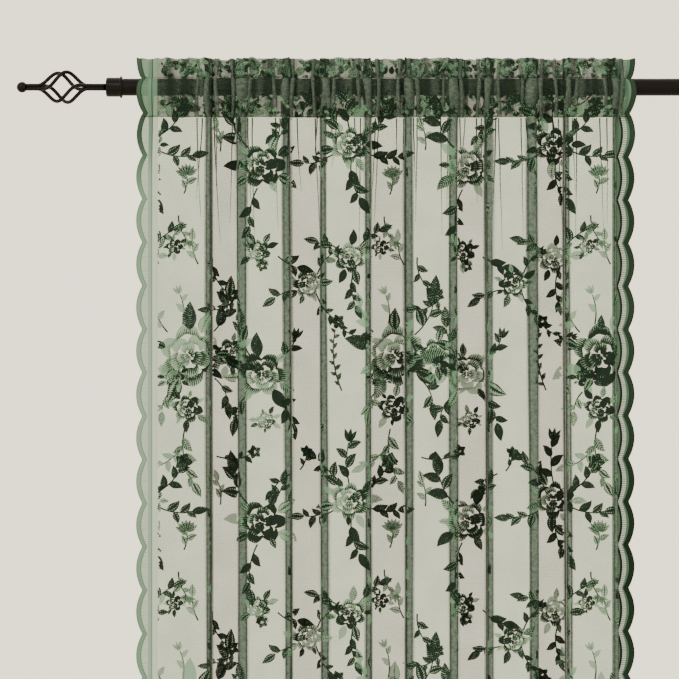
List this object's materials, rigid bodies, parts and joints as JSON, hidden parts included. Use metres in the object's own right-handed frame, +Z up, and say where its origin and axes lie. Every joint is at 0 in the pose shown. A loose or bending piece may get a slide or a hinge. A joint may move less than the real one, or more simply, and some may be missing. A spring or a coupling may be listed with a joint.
{
  "type": "lace curtain panel on a curtain rod",
  "caption": "Sheer lace panel with a ruffled rod-pocket heading, scalloped side borders and uneven folds, gathered on a round rod with twisted-cage finials.",
  "frame": {"origin": "on the curtain rod's axis, half way along the gathered cloth", "axes": "+Z up, +X along the rod to the right as seen from the room, -Y out into the room and +Y towards the wall"},
  "size_m": [1.1391, 0.0554, 2.1146],
  "materials": {
    "lace": "sheer knitted polyester lace, matt, dark green",
    "rod": "satin black",
    "finials": "gloss black"
  },
  "bodies": {
    "root": {"lace_panel": "lace", "curtain_rod": "rod", "left_collar": "finials", "left_ball": "finials", "left_cage_wire_1": "finials", "left_cage_wire_2": "finials", "left_cage_wire_3": "finials", "left_cage_wire_4": "finials", "right_collar": "finials", "right_ball": "finials", "right_cage_wire_1": "finials", "right_cage_wire_2": "finials", "right_cage_wire_3": "finials", "right_cage_wire_4": "finials"}
  },
  "joints": []
}
